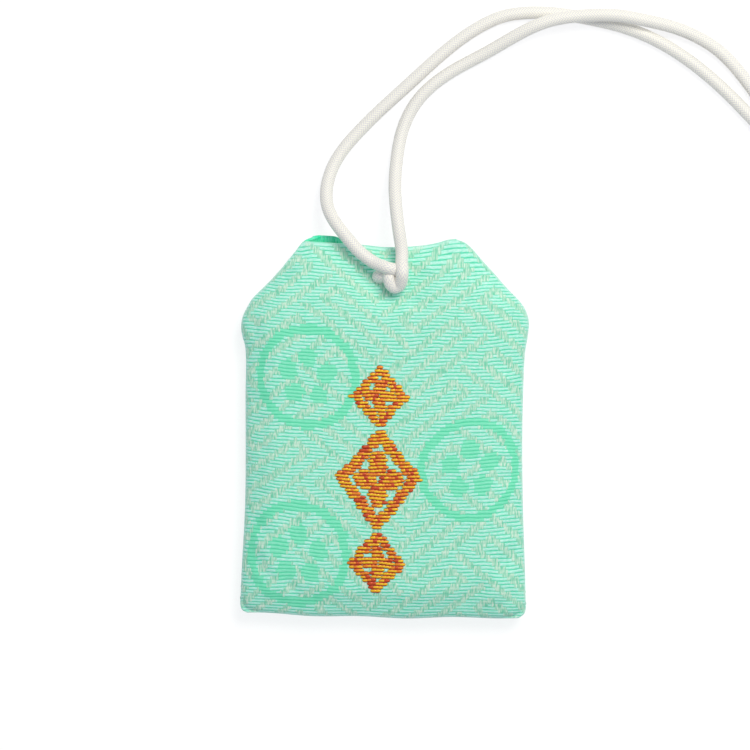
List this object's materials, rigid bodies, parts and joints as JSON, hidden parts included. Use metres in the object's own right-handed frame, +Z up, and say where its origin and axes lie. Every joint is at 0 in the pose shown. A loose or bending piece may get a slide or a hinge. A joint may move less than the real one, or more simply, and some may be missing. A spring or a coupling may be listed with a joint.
{
  "type": "omamori charm",
  "caption": "Small sewn brocade amulet pouch with slanting shoulders around a paper-wrapped wooden tablet, with a braided cord stitched through its mouth and knotted into a carrying loop.",
  "frame": {"origin": "on the table, under the middle of the pouch's outline, with the pouch lying on its back", "axes": "+X to the right across the face, +Y towards the mouth and the cord, +Z up out of the face"},
  "size_m": [0.0993, 0.0992, 0.0084],
  "materials": {
    "brocade": "mint silk-like brocade, ribbed ground with a stepped fret, ring motifs and gold weft ornament, soft sheen",
    "lining": "matt off-white ironed-on interlining",
    "sewing_thread": "matt mint sewing thread",
    "card": "matt grey-brown pressed board",
    "paper": "matt soft white fibre paper",
    "tablet_wood": "planed pale softwood, matt",
    "braided_cord": "ivory round braid with a silky sheen"
  },
  "bodies": {
    "pouch": {"front_panel": "brocade", "back_panel": "brocade", "front_lining": "lining", "back_lining": "lining", "front_mouth_hem": "brocade", "back_mouth_hem": "brocade", "left_corner_fold": "brocade", "right_corner_fold": "brocade", "seam_thread": "sewing_thread", "stiffener_card": "card", "cord_back_stitch": "braided_cord"},
    "packet": {"tablet_wrapper": "paper", "charm_tablet": "tablet_wood"},
    "hitch": {"cord_hitch": "braided_cord"},
    "loop": {"cord_left_strand": "braided_cord", "cord_right_strand": "braided_cord", "cord_end_knot": "braided_cord"}
  },
  "joints": [
    {"name": "packet_slide", "type": "slide", "parent": "pouch", "child": "packet", "axis": [0, 1, 0], "range_m": [0, 0.004]},
    {"name": "cord_swing", "type": "hinge", "parent": "pouch", "child": "hitch", "pos_m": [0.0005, 0.0241, 0.0055], "axis": [0, 0, 1], "range_deg": [-20, 20]},
    {"name": "loop_lift", "type": "hinge", "parent": "hitch", "child": "loop", "pos_m": [0.0005, 0.0258, 0.008], "axis": [1, 0, 0], "range_deg": [0, 165]}
  ]
}
